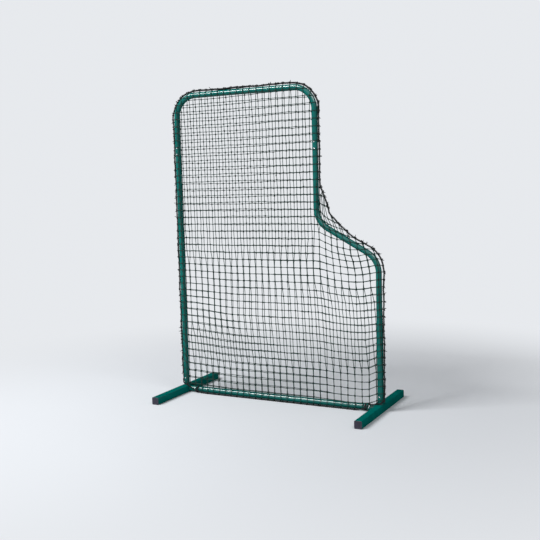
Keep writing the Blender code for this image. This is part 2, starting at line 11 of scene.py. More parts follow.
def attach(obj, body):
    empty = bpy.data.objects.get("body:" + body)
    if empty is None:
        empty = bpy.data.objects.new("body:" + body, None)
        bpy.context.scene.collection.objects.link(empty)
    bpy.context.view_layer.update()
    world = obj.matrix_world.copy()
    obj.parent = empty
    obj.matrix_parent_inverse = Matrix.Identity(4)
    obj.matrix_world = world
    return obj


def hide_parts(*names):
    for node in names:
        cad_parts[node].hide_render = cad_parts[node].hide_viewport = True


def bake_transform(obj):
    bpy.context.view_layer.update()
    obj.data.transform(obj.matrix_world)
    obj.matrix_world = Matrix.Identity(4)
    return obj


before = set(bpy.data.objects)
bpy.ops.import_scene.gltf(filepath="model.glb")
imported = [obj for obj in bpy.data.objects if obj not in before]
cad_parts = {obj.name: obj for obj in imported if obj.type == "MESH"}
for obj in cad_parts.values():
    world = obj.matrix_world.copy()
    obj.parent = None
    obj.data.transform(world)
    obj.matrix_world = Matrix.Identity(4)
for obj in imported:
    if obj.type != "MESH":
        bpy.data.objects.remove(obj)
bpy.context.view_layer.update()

scene = bpy.context.scene

# Sizes of the real object, in metres
INCH = 0.0254
SCREEN_HEIGHT = 84 * INCH
SCREEN_WIDTH = 60 * INCH
UPPER_WIDTH = 43.25 * INCH
HOOP_DEPTH = 15.75 * INCH
TUBE_RADIUS = 0.75 * INCH
TUBE_WALL = 0.065 * INCH
TUBE_SIDES = 40
BEND_RADIUS = 6 * INCH
SLOPE_CORNER_HEIGHT = 1.2347
SLOPE_ANGLE = radians(29.5)
FOOT_LENGTH = 32 * INCH
FOOT_SIZE = 2 * INCH
FOOT_WALL = 0.083 * INCH
FOOT_CORNER = 0.006
FOOT_CHAMFER = 0.0005
FIT_GAP = 0.0003
SPLICE_GAP = 0.0005
CAP_FLANGE = 0.0025
CAP_PLUG = 0.018
INNER_RADIUS = 0.0171
INNER_WALL = 0.065 * INCH
INNER_END_INSET, INNER_END_LENGTH = 0.0006, 0.0008
SPIGOT_LENGTH = 0.100
SLEEVE_LENGTH = 0.200
WELD_BEAD = 0.003
WELD_CLEARANCE = 0.0015
BUTTON_RADIUS = 0.0046
BUTTON_EDGE = 0.0003
BUTTON_BASE = 0.01439
BUTTON_HEIGHT = 0.00786
BUTTON_CROWN = 0.0034
BUTTON_HOLE_RADIUS = BUTTON_RADIUS + 0.0004
LEAF_THICKNESS = 0.0008
LEAF_WIDTH = 0.010
LEAF_LENGTH = 0.042
LEAF_FLAT = 0.007
LEAF_DEPTH = 0.01409 - LEAF_THICKNESS / 2
LEAF_BEND = 0.004
LEAF_EDGE = 0.0002
CORD_RADIUS = INCH / 8
CORD_STRANDS, CORD_LAY, CORD_GROOVE = 3, 0.024, 0.10
STANDOFF = 0.026
TIE_RADIUS = 0.0015
TIE_TURNS = 2.5
TIE_PITCH = 0.0038
TIE_INSET = 0.1005
TWINE_RADIUS = 0.0021
LACE_RADIUS = 0.0022
LACE_STEP = 0.0010
MESH_WIDE = 0.0495
MESH_HIGH = 0.04874
FIRST_COLUMN = 0.756
FIRST_ROW = 2.1475
COLUMNS = 31
ROWS = 45
KNOT_SCATTER = 0.0010
STRAND_WAVE = 0.0005
GROUND_ROOM = 0.0003
MENDED_KNOT = (0.061, 1.564)
MEND_END = 0.022
MEND_SHAPE = [[0, 0, 0], [0.06, -0.04, -0.30], [0.0, -0.10, -0.65], [-0.10, -0.08, -1.0]]

outer_x = SCREEN_WIDTH / 2 - TUBE_RADIUS
upper_x = UPPER_WIDTH - 2 * TUBE_RADIUS - outer_x
top_z = SCREEN_HEIGHT - TUBE_RADIUS
splice_z = SCREEN_HEIGHT - HOOP_DEPTH
bend_turn = pi / 2 - SLOPE_ANGLE
bend_tangent = BEND_RADIUS * tan(bend_turn / 2)
upper_bend_z = SLOPE_CORNER_HEIGHT + bend_tangent
lower_bend_z = SLOPE_CORNER_HEIGHT - (outer_x - upper_x) * tan(SLOPE_ANGLE) - bend_tangent
foot_inner_x = outer_x - FOOT_SIZE / 2
rail_z = FOOT_SIZE / 2
tube_end_gap = WELD_BEAD + WELD_CLEARANCE
lie = TUBE_RADIUS + TWINE_RADIUS

# The buttons' places (x, z) with their springs' turns, and how far the front layer keeps from them
SPLICE_BUTTON_OFFSET, FOOT_BUTTON_OFFSET = 0.0215, 0.050
BUTTON_CLEAR = 0.0130
BUTTON_BESIDE = 1.7 * BUTTON_CLEAR
STRAND_CLEAR = 0.0078
high_button, low_button = splice_z + SPLICE_BUTTON_OFFSET, splice_z - SPLICE_BUTTON_OFFSET
foot_button_z = FOOT_SIZE + FOOT_BUTTON_OFFSET
rail_button_x = foot_inner_x - FOOT_BUTTON_OFFSET
SIDES = ((-1, "left", -outer_x), (1, "right", upper_x))
BUTTONS = {
    f"{name}_{part}_button": place
    for side, name, splice_x in SIDES
    for part, *place in (
        ("splice_upper", splice_x, high_button, -pi / 2), ("splice_lower", splice_x, low_button, pi / 2),
        ("foot", side * outer_x, foot_button_z, pi / 2),
        ("rail", side * rail_button_x, rail_z, pi if side < 0 else 0.0),
    )
}
rng = np.random.default_rng(7)

# ---- Materials

PALE = (0.80, 0.82, 0.85)
DUST = (0.16, 0.15, 0.12)
BLACK, WHITE = (0, 0, 0), (1, 1, 1)


def shade(colour, factor, lift=0.0):
    return tuple(min(1.0, factor * c + lift) for c in colour)


class Graph:
    """The nodes of a material or a world: each method adds one, feeds its sockets and gives its output."""

    def __init__(self, owner):
        owner.use_nodes = True
        self.owner, self.nodes, self.links = owner, owner.node_tree.nodes, owner.node_tree.links

    def feed(self, node, values):
        for key, value in values.items():
            socket = node.inputs[key]
            if isinstance(value, bpy.types.NodeSocket):
                self.links.new(value, socket)
            elif value is not None:
                socket.default_value = (*value, 1.0) if socket.type == "RGBA" else value

    def add(self, kind, values=None, **settings):
        made = self.nodes.new("ShaderNode" + kind)
        for key, value in settings.items():
            setattr(made, key, value)
        self.feed(made, values or {})
        return made.outputs

    def noise(self, where, scale, detail, roughness=0.5):
        values = {"Vector": where, "Scale": scale, "Detail": detail, "Roughness": roughness}
        return self.add("TexNoise", values)["Fac"]

    def stretched(self, where, scale):
        return self.add("Mapping", {"Vector": where, "Scale": scale})["Vector"]

    def part(self, vector, axis):
        return self.add("SeparateXYZ", {"Vector": vector})[axis]

    def math(self, operation, first, second=None):
        return self.add("Math", {0: first, 1: second}, operation=operation)["Value"]

    def span(self, value, source=(0.0, 1.0), target=(0.0, 1.0), kind="LINEAR"):
        ends = {"From Min": source[0], "From Max": source[1], "To Min": target[0], "To Max": target[1]}
        return self.add("MapRange", {"Value": value, **ends}, interpolation_type=kind)["Result"]

    def ramp(self, factor, *stops):
        made = self.nodes.new("ShaderNodeValToRGB")
        for element, (place, colour) in zip(made.color_ramp.elements, stops):
            element.position, element.color = place, (*colour, 1.0)
        self.feed(made, {"Fac": factor})
        return made.outputs["Color"]

    def mask(self, value, low, high):
        return self.ramp(value, (low, BLACK), (high, WHITE))

    def mix(self, factor, first, second):
        values = {"Factor": factor, "A": first, "B": second}
        return self.add("Mix", values, data_type="RGBA")["Result"]

    def bump(self, height, strength, distance, normal=None):
        values = {"Strength": strength, "Distance": distance, "Height": height, "Normal": normal}
        return self.add("Bump", values)["Normal"]

    def surface(self, values):
        self.feed(self.nodes["Principled BSDF"], values)
        return self.owner


def paint_material(name, colour, dust):
    """Gloss paint with a faint orange peel, uneven depth of colour, hair scratches and dust low down."""
    g = Graph(bpy.data.materials.new(name))
    place = g.add("TexCoord")
    where = place["Object"]
    cloud = g.noise(where, scale=9.0, detail=4.0, roughness=0.6)
    tone = g.ramp(cloud, (0.32, shade(colour, 0.84)), (0.68, shade(colour, 1.16)))
    hair = g.noise(g.stretched(where, (220, 220, 26)), scale=1.0, detail=3.0, roughness=0.7)
    scratched = g.math("MULTIPLY", g.mask(hair, 0.70, 0.78), 0.35)
    base = g.mix(scratched, tone, shade(colour, 0.7, lift=0.03))
    specks = g.mask(g.noise(where, scale=70.0, detail=6.0, roughness=0.7), 0.48, 0.72)
    low = g.span(g.part(where, "Z"), source=(0.10, 0.0))
    dusty = g.math("MULTIPLY", g.math("MULTIPLY", low, specks), dust)
    # Gloss fades out towards grazing; on upward-facing surfaces it is raised, a painted highlight that stands in
    # for light from above
    facing = g.add("LayerWeight", {"Blend": 0.5})["Facing"]
    gloss = g.span(facing, source=(0.15, 0.45), target=(1.0, 0.0))
    upper = g.span(g.part(place["Normal"], "Z"), source=(0.02, 0.28), target=(0.20, 0.9), kind="SMOOTHSTEP")
    return g.surface({
        "Base Color": g.mix(dusty, base, DUST),
        "Roughness": g.span(cloud, target=(0.10, 0.18)),
        "Specular IOR Level": g.math("MULTIPLY", gloss, upper),
        "Normal": g.bump(g.noise(where, scale=260.0, detail=2.0), strength=0.03, distance=0.0003),
    })


def twine_material(name, colour, pitch, plies, fuzz=0.0):
    """Laid twine: plies wind round the strand, with painted shade in the grooves between them, pale worn patches
    and dark fibres.
    """
    g = Graph(bpy.data.materials.new(name))
    lay = g.add("UVMap", uv_map="lay")["UV"]
    turns = g.math("ADD", g.math("DIVIDE", g.part(lay, "X"), pitch), g.math("MULTIPLY", g.part(lay, "Y"), plies))
    crown = g.span(g.math("SINE", g.math("MULTIPLY", turns, 2 * pi)), source=(-1.0, 1.0))
    where = g.add("TexCoord")["Object"]
    fibre = g.noise(where, scale=900.0, detail=3.0, roughness=0.7)
    worn = g.math("MULTIPLY", g.mask(g.noise(where, scale=14.0, detail=3.0), 0.45, 0.75), 0.45)
    # Painted shade: the grooves between the plies darken to a third of the colour, the crowns keep it all
    tone = g.ramp(crown, (0.15, shade(colour, 0.35)), (0.8, colour))
    base = g.mix(worn, tone, shade(colour, 1.5, lift=0.006))
    plied = g.bump(crown, strength=0.8, distance=0.0005)
    return g.surface({
        "Base Color": g.mix(fibre, base, shade(colour, 0.6)),
        "Roughness": 0.85,
        "Sheen Weight": 0.15 * fuzz,
        "Normal": g.bump(fibre, strength=0.4, distance=0.0002, normal=plied),
    })


def plastic_material(name, colour):
    """Moulded plastic with a fine grain."""
    g = Graph(bpy.data.materials.new(name))
    where = g.add("TexCoord")["Object"]
    grain = g.add("TexVoronoi", {"Vector": where, "Scale": 900.0})["Distance"]
    cloud = g.noise(where, scale=35.0, detail=5.0)
    return g.surface({
        "Base Color": g.ramp(cloud, (0.35, shade(colour, 0.8)), (0.75, shade(colour, 1.5))),
        "Roughness": g.span(cloud, target=(0.38, 0.6)),
        "Normal": g.bump(grain, strength=0.25, distance=0.0003),
    })


def steel_material(name, colour, roughness, stretch):
    """Steel with fine drawn lines."""
    g = Graph(bpy.data.materials.new(name))
    where = g.add("TexCoord")["Object"]
    drawn = g.noise(g.stretched(where, stretch), scale=1.0, detail=5.0, roughness=0.65)
    return g.surface({
        "Base Color": g.ramp(drawn, (0.3, shade(colour, 0.78)), (0.7, colour)),
        "Metallic": 1.0,
        "Roughness": g.span(drawn, target=(0.7 * roughness, 1.4 * roughness)),
        "Normal": g.bump(drawn, strength=0.15, distance=0.0002),
    })


PAINT = paint_material("green_gloss_paint", (0.0001, 0.130, 0.112), dust=0.06)
TWINE = twine_material("net_twine_laid", (0.0005, 0.054, 0.038), pitch=0.0075, plies=3, fuzz=0.3)
# The knots are the net's own twine made darker: painted shade inside the knots
SHADED_KNOT_TWINE = twine_material("net_knot_painted_shade", (0.001, 0.017, 0.012), pitch=0.0075, plies=3, fuzz=0.15)
LACE = twine_material("lacing_twine_laid", (0.003, 0.007, 0.007), pitch=0.006, plies=3)
ROPE = twine_material("border_cord_laid", (0.006, 0.005, 0.009), pitch=0.004, plies=6)
PLASTIC = plastic_material("black_plastic_grain", (0.020, 0.017, 0.034))
STEEL = steel_material("bare_steel_drawn", (0.42, 0.43, 0.44), 0.35, (60, 60, 900))
CHROME = steel_material("bright_steel_polished", (0.86, 0.87, 0.89), 0.24, (700, 700, 700))

# ---- Mesh helpers


def placed(name, data):
    """A new object in the scene."""
    obj = bpy.data.objects.new(name, data)
    scene.collection.objects.link(obj)
    return obj


def new_object(name, mesh, material, body="root", replaces=(), sharp=80):
    """A piece from a mesh or (vertices, faces, uvs), with its material."""
    if isinstance(mesh, tuple):
        mesh = mesh_from(name, *mesh)
    mesh.shade_smooth()
    mesh.set_sharp_from_angle(angle=radians(sharp))
    obj = placed(name, mesh)
    mesh.materials.clear()
    mesh.materials.append(material)
    if replaces:
        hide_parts(*replaces)
    if body:
        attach(obj, body)
    return obj


def mesh_from(name, verts, faces, uvs=None):
    mesh = bpy.data.meshes.new(name)
    mesh.from_pydata([tuple(v) for v in verts], [], [tuple(f) for f in faces])
    if uvs is not None:
        layer = mesh.uv_layers.new(name="lay")
        loops = np.zeros(len(mesh.loops), np.int32)
        mesh.loops.foreach_get("vertex_index", loops)
        layer.data.foreach_set("uv", np.asarray(uvs, np.float32)[loops].ravel())
    return mesh


def joined(shapes):
    """Many small bodies as one (vertices, faces, uvs)."""
    verts, faces, uvs = zip(*shapes)
    starts = np.cumsum([0, *map(len, verts)])
    faces = [(np.asarray(f) + start).tolist() for body, start in zip(faces, starts) for f in body]
    return np.concatenate(verts), faces, np.concatenate(uvs)


def unit(v):
    return v / np.linalg.norm(v)


def across_axis(v):
    return np.array([0.0, 1.0, 0.0] if abs(v[1]) <= 0.9 else [1.0, 0.0, 0.0])


def around(angle, u, v):
    """The directions at an angle from u towards v."""
    return np.cos(angle)[..., None] * u + np.sin(angle)[..., None] * v


def turn_knot(first, then, size):
    """The knot's vertices, turned by two (angle, axis) pairs and scaled."""
    matrix = Matrix.Rotation(then[0], 3, then[1]) @ Matrix.Rotation(first[0], 3, first[1])
    return KNOT[0] @ np.array(matrix).T * size


def frames_along(points, closed=False):
    """Two unit normals at each point, turned as little as possible along the line."""
    points = np.asarray(points, float)
    if closed:
        tangents = np.roll(points, -1, 0) - np.roll(points, 1, 0)
    else:
        tangents = np.gradient(points, axis=0)
    tangents /= np.linalg.norm(tangents, axis=1)[:, None]
    first = across_axis(tangents[0])
    side = unit(first - tangents[0] * (tangents[0] @ first))
    sides = [side]
    for t in tangents[1:]:
        side = unit(side - t * (t @ side))
        sides.append(side)
    sides = np.array(sides)
    if closed:
        end = unit(sides[-1] - tangents[0] * (tangents[0] @ sides[-1]))
        turn = atan2(np.cross(end, sides[0]) @ tangents[0], end @ sides[0])
        sides = around(turn * (np.arange(len(points)) / len(points)), sides, np.cross(tangents, sides))
    return sides, np.cross(tangents, sides)


def quads(rows, count, total):
    """Faces between neighbouring rings of points, count in each; ring number total is the first again."""
    i, j = np.arange(rows)[:, None], np.arange(count)[None, :]
    here, there, onward = i * count, (i + 1) % total * count, (j + 1) % count
    return np.stack([here + j, here + onward, there + onward, there + j], -1).reshape(-1, 4)


def lofted(rings, closed=False, fill=()):
    """Faces between rings of points with the same count; fill caps the named rings."""
    count = len(rings[0])
    faces = quads(len(rings) if closed else len(rings) - 1, count, len(rings)).tolist()
    faces += [tuple(range(r * count, (r + 1) * count)) for r in fill]
    return np.concatenate(rings), faces


def lengths_along(points):
    return np.concatenate([[0.0], np.cumsum(np.linalg.norm(np.diff(points, axis=0), axis=1))])


def sweep(points, radius, sides, closed=False, turns=0.0, lobes=0, lobe_depth=0.0):
    """A round or lobed tube along points: (vertices, faces, uvs). u runs along in metres, v once round."""
    points = np.asarray(points, float)
    count = len(points)
    side, other = frames_along(points, closed)
    along = lengths_along(points)
    radius = np.broadcast_to(np.asarray(radius, float), count)
    ring = np.arange(sides) / sides * 2 * pi
    twist = turns * 2 * pi * along / max(along[-1], 1e-9)
    reach = radius[:, None] * (1 + lobe_depth * np.cos(lobes * ring)[None, :]) if lobes else radius[:, None]
    verts = points[:, None] + reach[..., None] * around(ring + twist[:, None], side[:, None], other[:, None])
    faces = list(quads(count if closed else count - 1, sides, count))
    uvs = np.stack([np.repeat(along, sides), np.tile(ring / (2 * pi), count)], -1)
    if not closed:
        faces.append(np.arange(sides)[::-1])
        faces.append(np.arange(sides) + (count - 1) * sides)
    return verts.reshape(-1, 3), faces, uvs


def arc(centre, radius, start, end, steps):
    """(x, z, outward x, outward z) along an arc."""
    out = [(cos(a), sin(a)) for a in np.linspace(start, end, steps + 1)]
    return [(centre[0] + radius * c, centre[1] + radius * s, c, s) for c, s in out]


def read_off(at, along, rows):
    """Rows of numbers along a line, read off at other lengths of it."""
    return np.stack([np.interp(at, along, rows[:, k]) for k in range(rows.shape[1])], -1)


def resample(points, step):
    points = np.asarray(points, float)
    along = lengths_along(points)
    count = max(int(round(along[-1] / step)), 1)
    return read_off(np.linspace(0, along[-1], count + 1), along, points)


def smooth_line(points, step):
    """A rounded line through points, by cutting its corners twice."""
    points = np.asarray(points, float)
    for _ in range(2):
        a, b = points[:-1], points[1:]
        cut = np.empty((2 * len(a), 3))
        cut[0::2] = 0.75 * a + 0.25 * b
        cut[1::2] = 0.25 * a + 0.75 * b
        points = np.concatenate([points[:1], cut, points[-1:]])
    return resample(points, step)


def table(x, pairs):
    return np.interp(x, *zip(*pairs))


def raised(verts, room=GROUND_ROOM):
    """The same body, lifted where it would go below the ground."""
    verts[:, 2] += max(0.0, room - verts[:, 2].min())
    return verts


# ---- Camera, first because the net is matched to its view

IMAGE_WIDTH, FOCAL_PIXELS, SENSOR_WIDTH = 540, 824.275508, 36.0
CAMERA_PLACE = (2.525169, -4.952486, 1.506233)
YAW, PITCH, ROLL = 0.477403815, -0.107105182, -0.0271892103
forward = Vector((-sin(YAW) * cos(PITCH), cos(YAW) * cos(PITCH), sin(PITCH)))
level = Vector((cos(YAW), sin(YAW), 0.0))
upward = level.cross(forward)
across = cos(ROLL) * level + sin(ROLL) * upward
above = -sin(ROLL) * level + cos(ROLL) * upward
camera_data = bpy.data.cameras.new("camera")
camera_data.sensor_width = SENSOR_WIDTH
camera_data.sensor_fit = "HORIZONTAL"
camera_data.lens = FOCAL_PIXELS / IMAGE_WIDTH * SENSOR_WIDTH
camera_data.clip_end = 100.0
camera = placed("camera", camera_data)
camera.matrix_world = Matrix.Translation(CAMERA_PLACE) @ Matrix((across, above, -forward)).transposed().to_4x4()
scene.camera = camera
eye = np.array(camera.matrix_world.translation)

# ---- The border cord's line, as in the part's source

LEAD_ABOVE, LEAD_BELOW = 0.140, 0.100
NOTCH_STANDOFFS = [
    (0, STANDOFF), (0.3, 0.045), (0.67, 0.066), (1, 0.082), (1.5, 0.084), (2, 0.078),
    (2.22, 0.057), (2.36, 0.048), (2.5, 0.041), (2.75, 0.037), (3, 0.04), (3.5, 0.034),
    (4, 0.033), (5, STANDOFF),
]
NET_SIDES, NET_THICKNESS, NET_CORNER_HEIGHT = 16, 0.0024, 0.0347
FOOT_TURN = [
    (0, STANDOFF, 0.06), (0, STANDOFF, 0.034), (12, 0.0256, 0.0265), (35, 0.024, 0.0187),
    (62, 0.0232, 0.0127), (90, 0.0231, 0.0089), (112, 0.024, 0.0066),
]
TIE_HEIGHT = 0.0170
FOOT_EDGE_DROP = (0.0205, 0.056)
LEFT_DROP = [(0.03, 0.0505), (0.042, 0.0425), (0.0564, 0.034), (0.0754, 0.026)]
RIGHT_DROP = [(0.03, 0.052), (0.045, 0.051), (0.062, 0.05), (0.077, 0.044), (0.085, 0.029)]
GROUND_RUN = [
    (0.0905, TIE_HEIGHT), (0.111, TIE_HEIGHT), (0.133, 0.0095), (0.16, 0.0055), (0.19, 0.0045),
]
SLACK, SLACK_FADE = 0.0034, 0.12
SLACK_WAVES = [(0.0016, 21.0, 0.0), (0.0013, 47.0, 1.0), (0.0008, 83.0, 2.0)]
HOOP_STEPS, NOTCH_STEPS = 24, 18

net_inner_radius = (TUBE_RADIUS + FIT_GAP) / cos(pi / NET_SIDES)
front_lie = net_inner_radius + NET_THICKNESS + CORD_RADIUS + 2 * FIT_GAP
net_corner_z = FOOT_SIZE + NET_CORNER_HEIGHT
left_bend = arc((-outer_x + BEND_RADIUS, top_z - BEND_RADIUS), BEND_RADIUS, pi, pi / 2, HOOP_STEPS)
right_bend = arc((upper_x - BEND_RADIUS, top_z - BEND_RADIUS), BEND_RADIUS, pi / 2, 0, HOOP_STEPS)
notch_centre = (upper_x + BEND_RADIUS, upper_bend_z)
notch_bend = [
    (x, z, -ax, -az) for x, z, ax, az in arc(notch_centre, BEND_RADIUS, pi, pi + bend_turn, NOTCH_STEPS)
]
lower_bend = arc((outer_x - BEND_RADIUS, lower_bend_z), BEND_RADIUS, bend_turn, 0, NOTCH_STEPS)


def stations():
    """(x, z, outward x, outward z, stand-off) round the frame, from the left foot to the right one."""

    def at(x, z, ax, az, place):
        return (x, z, ax, az, table(place, NOTCH_STANDOFFS))

    def along(x, low, high, outward, steps):
        return [(x, z, outward, 0, STANDOFF) for z in np.linspace(low, high, steps)]

    side_top, start, end = top_z - BEND_RADIUS, upper_bend_z + LEAD_ABOVE, lower_bend_z - LEAD_BELOW
    made = along(-outer_x, net_corner_z, side_top, -1, 40)[:-1]
    made += [(*s, STANDOFF) for s in left_bend]
    made += [(x, top_z, 0, 1, STANDOFF) for x in np.linspace(left_bend[-1][0], right_bend[0][0], 20)[1:-1]]
    made += [(*s, STANDOFF) for s in right_bend]
    made += along(upper_x, side_top, start, 1, 12)[1:]
    made += [at(upper_x, start - LEAD_ABOVE * s, 1, 0, s) for s in np.linspace(0, 1, 12)[1:-1]]
    made += [at(*s, 1 + i / NOTCH_STEPS) for i, s in enumerate(notch_bend)]
    a, b = notch_bend[-1], lower_bend[0]
    for s in np.linspace(0, 1, 16)[1:-1]:
        made.append(at(a[0] + s * (b[0] - a[0]), a[1] + s * (b[1] - a[1]), a[2], a[3], 2 + s))
    made += [at(*s, 3 + i / NOTCH_STEPS) for i, s in enumerate(lower_bend)]
    made += [at(outer_x, lower_bend_z - LEAD_BELOW * s, 1, 0, 4 + s) for s in np.linspace(0, 1, 8)[1:]]
    made += along(outer_x, end, net_corner_z, 1, 18)[1:]
    return np.array(made)


STATIONS = stations()
runs = lengths_along(STATIONS[:, :2])
slack = SLACK
for height, rate, start in SLACK_WAVES:
    slack = slack + height * np.sin(runs * rate + start)
STATIONS[:, 4] += slack * np.clip(np.minimum(runs, runs[-1] - runs) / SLACK_FADE, 0, 1)


def cord_side(side, drop):
    """The cord's (x, y, z) points from an upright's side round its foot to the ground."""
    points = []
    for degrees, reach, height in FOOT_TURN:
        a = radians(degrees)
        points.append((side * (outer_x + reach * cos(a)), -reach * sin(a), FOOT_SIZE + height))
    for inset, height in (FOOT_EDGE_DROP, *drop, *GROUND_RUN):
        points.append((side * (outer_x - inset), -front_lie, height))
    return points


over = [(x + ax * s, 0.0, z + az * s) for x, z, ax, az, s in STATIONS[2:-2]]
left_side = cord_side(-1, LEFT_DROP)
right_side = cord_side(1, RIGHT_DROP)
rear_left = [(inset - outer_x, front_lie, z) for inset, z in (*LEFT_DROP, *GROUND_RUN)]
rear_right = [(-x, y, z) for x, y, z in reversed(rear_left)]


def border_outline(front):
    """A net layer's edge, once round; the front one's is the border cord's line."""
    used = None if front else len(FOOT_TURN)
    path = [*reversed(left_side[:used]), *over, *right_side[:used]]
    if not front:
        path = [*rear_left[::-1], *((x, -y, z) for x, y, z in path), *rear_right[::-1]]
    return np.array(path)


# ---- The net: how its even mesh hangs, from tables over height or width

BAY_DIP = [
    (0.05, 0.01), (0.25, 0.012), (0.5, 0.022), (0.74, 0.031), (0.835, 0.035), (0.93, 0.04),
    (0.98, 0.044), (1.03, 0.05), (1.08, 0.064), (1.13, 0.071), (1.3, 0.06), (1.45, 0.02), (1.6, 0),
]
DIP_SHAPE = [
    (0.31, 0), (0.342, 0.05), (0.383, 0.32), (0.422, 0.57), (0.468, 0.75), (0.513, 0.87), (0.557, 0.98),
    (0.6, 1), (0.644, 0.88), (0.69, 0.66), (0.72, 0.45), (0.77, 0.3),
]
LEFT_LIFT = [
    (0, 0), (0.05, 0.012), (0.2, 0.02), (0.4, 0.028), (0.6, 0.028), (0.72, 0.018), (0.85, 0.014),
    (0.98, 0.009), (1.1, 0.002), (1.3, 0),
]
LEAN_PLACES = (-0.6, -0.19, 0.35)
LEANS = (
    [(0, 0.025), (0.25, 0.025), (0.45, 0.014), (0.59, 0.01), (0.8, 0.011), (0.93, 0.008), (1.07, 0.0035),
     (1.5, 0.002), (2, 0), (2.15, -0.002)],
    [(0, 0.022), (0.25, 0.02), (0.45, 0.008), (0.59, -0.002), (0.8, 0.003), (0.93, 0.003), (1.07, 0.001),
     (1.5, -0.002), (2, -0.003), (2.15, -0.006)],
    [(0, 0.018), (0.25, 0.018), (0.45, 0.012), (0.6, 0.008), (0.74, 0), (0.83, -0.01), (0.95, -0.0165),
     (1.05, -0.014), (1.13, -0.011), (1.5, -0.01), (1.95, -0.01), (2.15, -0.005)],
)
BAY_SLIDE = [(0.95, 0), (1.03, 0.4), (1.08, 0.75), (1.13, 1), (1.5, 1)]
APART_LEFT = [
    (0, 0.05), (0.2, 0.12), (0.3, 0.5), (0.4, 0.5), (0.48, 0.04), (0.8, 0), (0.92, 0.03), (1, 0.3),
    (1.06, 0.5), (1.9, 0.5), (2.05, 0.35), (2.2, 0.25),
]
APART_RIGHT = [
    (0, 0), (0.25, 0), (0.33, 0.2), (0.42, 0.35), (0.5, 0.5), (0.7, 0.5), (0.75, 0.4), (0.8, 0.25),
    (0.86, 0.05), (0.95, 0), (1.02, 0.1), (1.1, 0.4), (1.15, 0.5), (1.9, 0.5), (2.05, 0.4), (2.2, 0.3),
]
BAY_SHIFT, CORNER_LIFT, POST_LIFT, RAIL_ROW_LIFT = 0.040, 0.026, 0.045, 0.0065
REAR_DROP, REAR_UPPER_DROP = 0.0047, 0.007
DRIFT, DRIFT_WAVES = 0.0016, 6
phase = rng.uniform(0, 2 * pi, (2, 2, DRIFT_WAVES))


def smooth(x):
    x = np.clip(x, 0, 1)
    return x * x * (3 - 2 * x)


def rise(value, start, width):
    """A smooth step from 0 at start to 1 at start + width; a negative width steps the other way."""
    return smooth((value - start) / width)


def drift(x, z, layer, axis):
    """A slow unevenness of a layer's meshes, a few millimetres."""
    total = np.zeros_like(x)
    for n, start in enumerate(phase[layer, axis]):
        wave = (2.1 + 1.7 * n) * x + (1.3 + 1.9 * (n * 3 % 5)) * z + start
        total = total + np.sin(wave) / (1 + 0.6 * n)
    return DRIFT * total


def settle(x, z, front):
    """Where a point of the even mesh lies in the hanging net, both as (x, z) in the frame's plane."""
    layer = 0 if front else 1
    near_ground = rise(z, -0.02, 0.10)
    # Columns lean, slide towards the notch in the bay, and part from those of the other layer
    leans = [table(z, pairs) for pairs in LEANS]
    dx = leans[0]
    for n in (0, 1):
        share = np.clip((x - LEAN_PLACES[n]) / (LEAN_PLACES[n + 1] - LEAN_PLACES[n]), 0, 1)
        dx = dx + share * (leans[n + 1] - leans[n])
    dx = dx - BAY_SHIFT * rise(x, 0.28, 0.36) * table(z, BAY_SLIDE) * rise(z, 1.62, -0.2)
    right = np.clip((x + 0.6) / 1.2, 0, 1)
    share = (1 - right) * table(z, APART_LEFT) + right * table(z, APART_RIGHT)
    share = share * (1 - rise(x, 0.28, 0.08) * rise(z, 1.24, -0.06) * rise(z, 0.94, 0.06))
    apart = 2 * lie * (eye[0] - x) / -eye[1]
    dx = dx - share * MESH_WIDE / 2 if front else dx + share * MESH_WIDE / 2 - apart
    dx = dx + drift(x, z, layer, 0)
    here = x + dx if front else x + dx + apart
    # Rows dip in the bay, and rise to the lower right corner, to the left side and round the left post
    dz = -table(z, BAY_DIP) * table(here, DIP_SHAPE)
    dz = dz + rise(here, 0.655, 0.09) * CORNER_LIFT * rise(z, 0.62, -0.3)
    dz = dz + table(z, LEFT_LIFT) * rise(here, -0.25, -0.5)
    dz = dz + POST_LIFT * rise(here, -0.715, -0.06) * rise(z, 0.50, -0.20) * near_ground
    dz = dz + drift(x, z, layer, 1) * near_ground
    if front:
        dz = dz + RAIL_ROW_LIFT * rise(z, 0.10, -0.03) * near_ground
    else:
        dz = dz - REAR_DROP * near_ground - REAR_UPPER_DROP * rise(x, 0.1, -0.4) * rise(z, 1.2, 0.3)
    return x + dx * (rise(x, -0.745, 0.06) * rise(x, 0.785, -0.05)), z + dz


def surface_depth(x, z):
    """The distance of each layer from the frame's plane at a point, from the tube that it wraps."""
    p = np.stack([x, z], -1)[..., None, :]
    line = np.concatenate([[[-outer_x, 0, -1, 0, STANDOFF]], STATIONS, [[outer_x, 0, 1, 0, STANDOFF]]])
    starts, steps = line[:-1], np.diff(line, axis=0)
    e = steps[:, :2]
    t = np.clip(((p - starts[:, :2]) * e).sum(-1) / (e * e).sum(-1), 0, 1)
    near = starts + t[..., None] * steps
    dist = np.linalg.norm(p - near[..., :2], axis=-1, keepdims=True)
    pick = np.argmin(dist, axis=-2, keepdims=True)
    near, dist = np.take_along_axis(near, pick, -2), np.take_along_axis(dist, pick, -2)[..., 0, 0]
    depth = np.sign(((p - near[..., :2]) * near[..., 2:4]).sum(-1))[..., 0] * dist
    outward, reach = near[..., 0, 2:4], near[..., 0, 4]
    touch = lie * lie / reach
    flat = np.sqrt(np.maximum(lie * lie - touch * touch, 0))
    wrapped = np.sqrt(np.maximum(lie * lie - np.clip(depth, 0, lie) ** 2, 0))
    straight = flat * np.clip((reach - depth) / (reach - touch), 0, 1)
    y = np.where(depth < touch, wrapped, straight)
    return y + rise(z, 0.032, -0.026) * (front_lie - lie) * (depth < 0), depth, outward


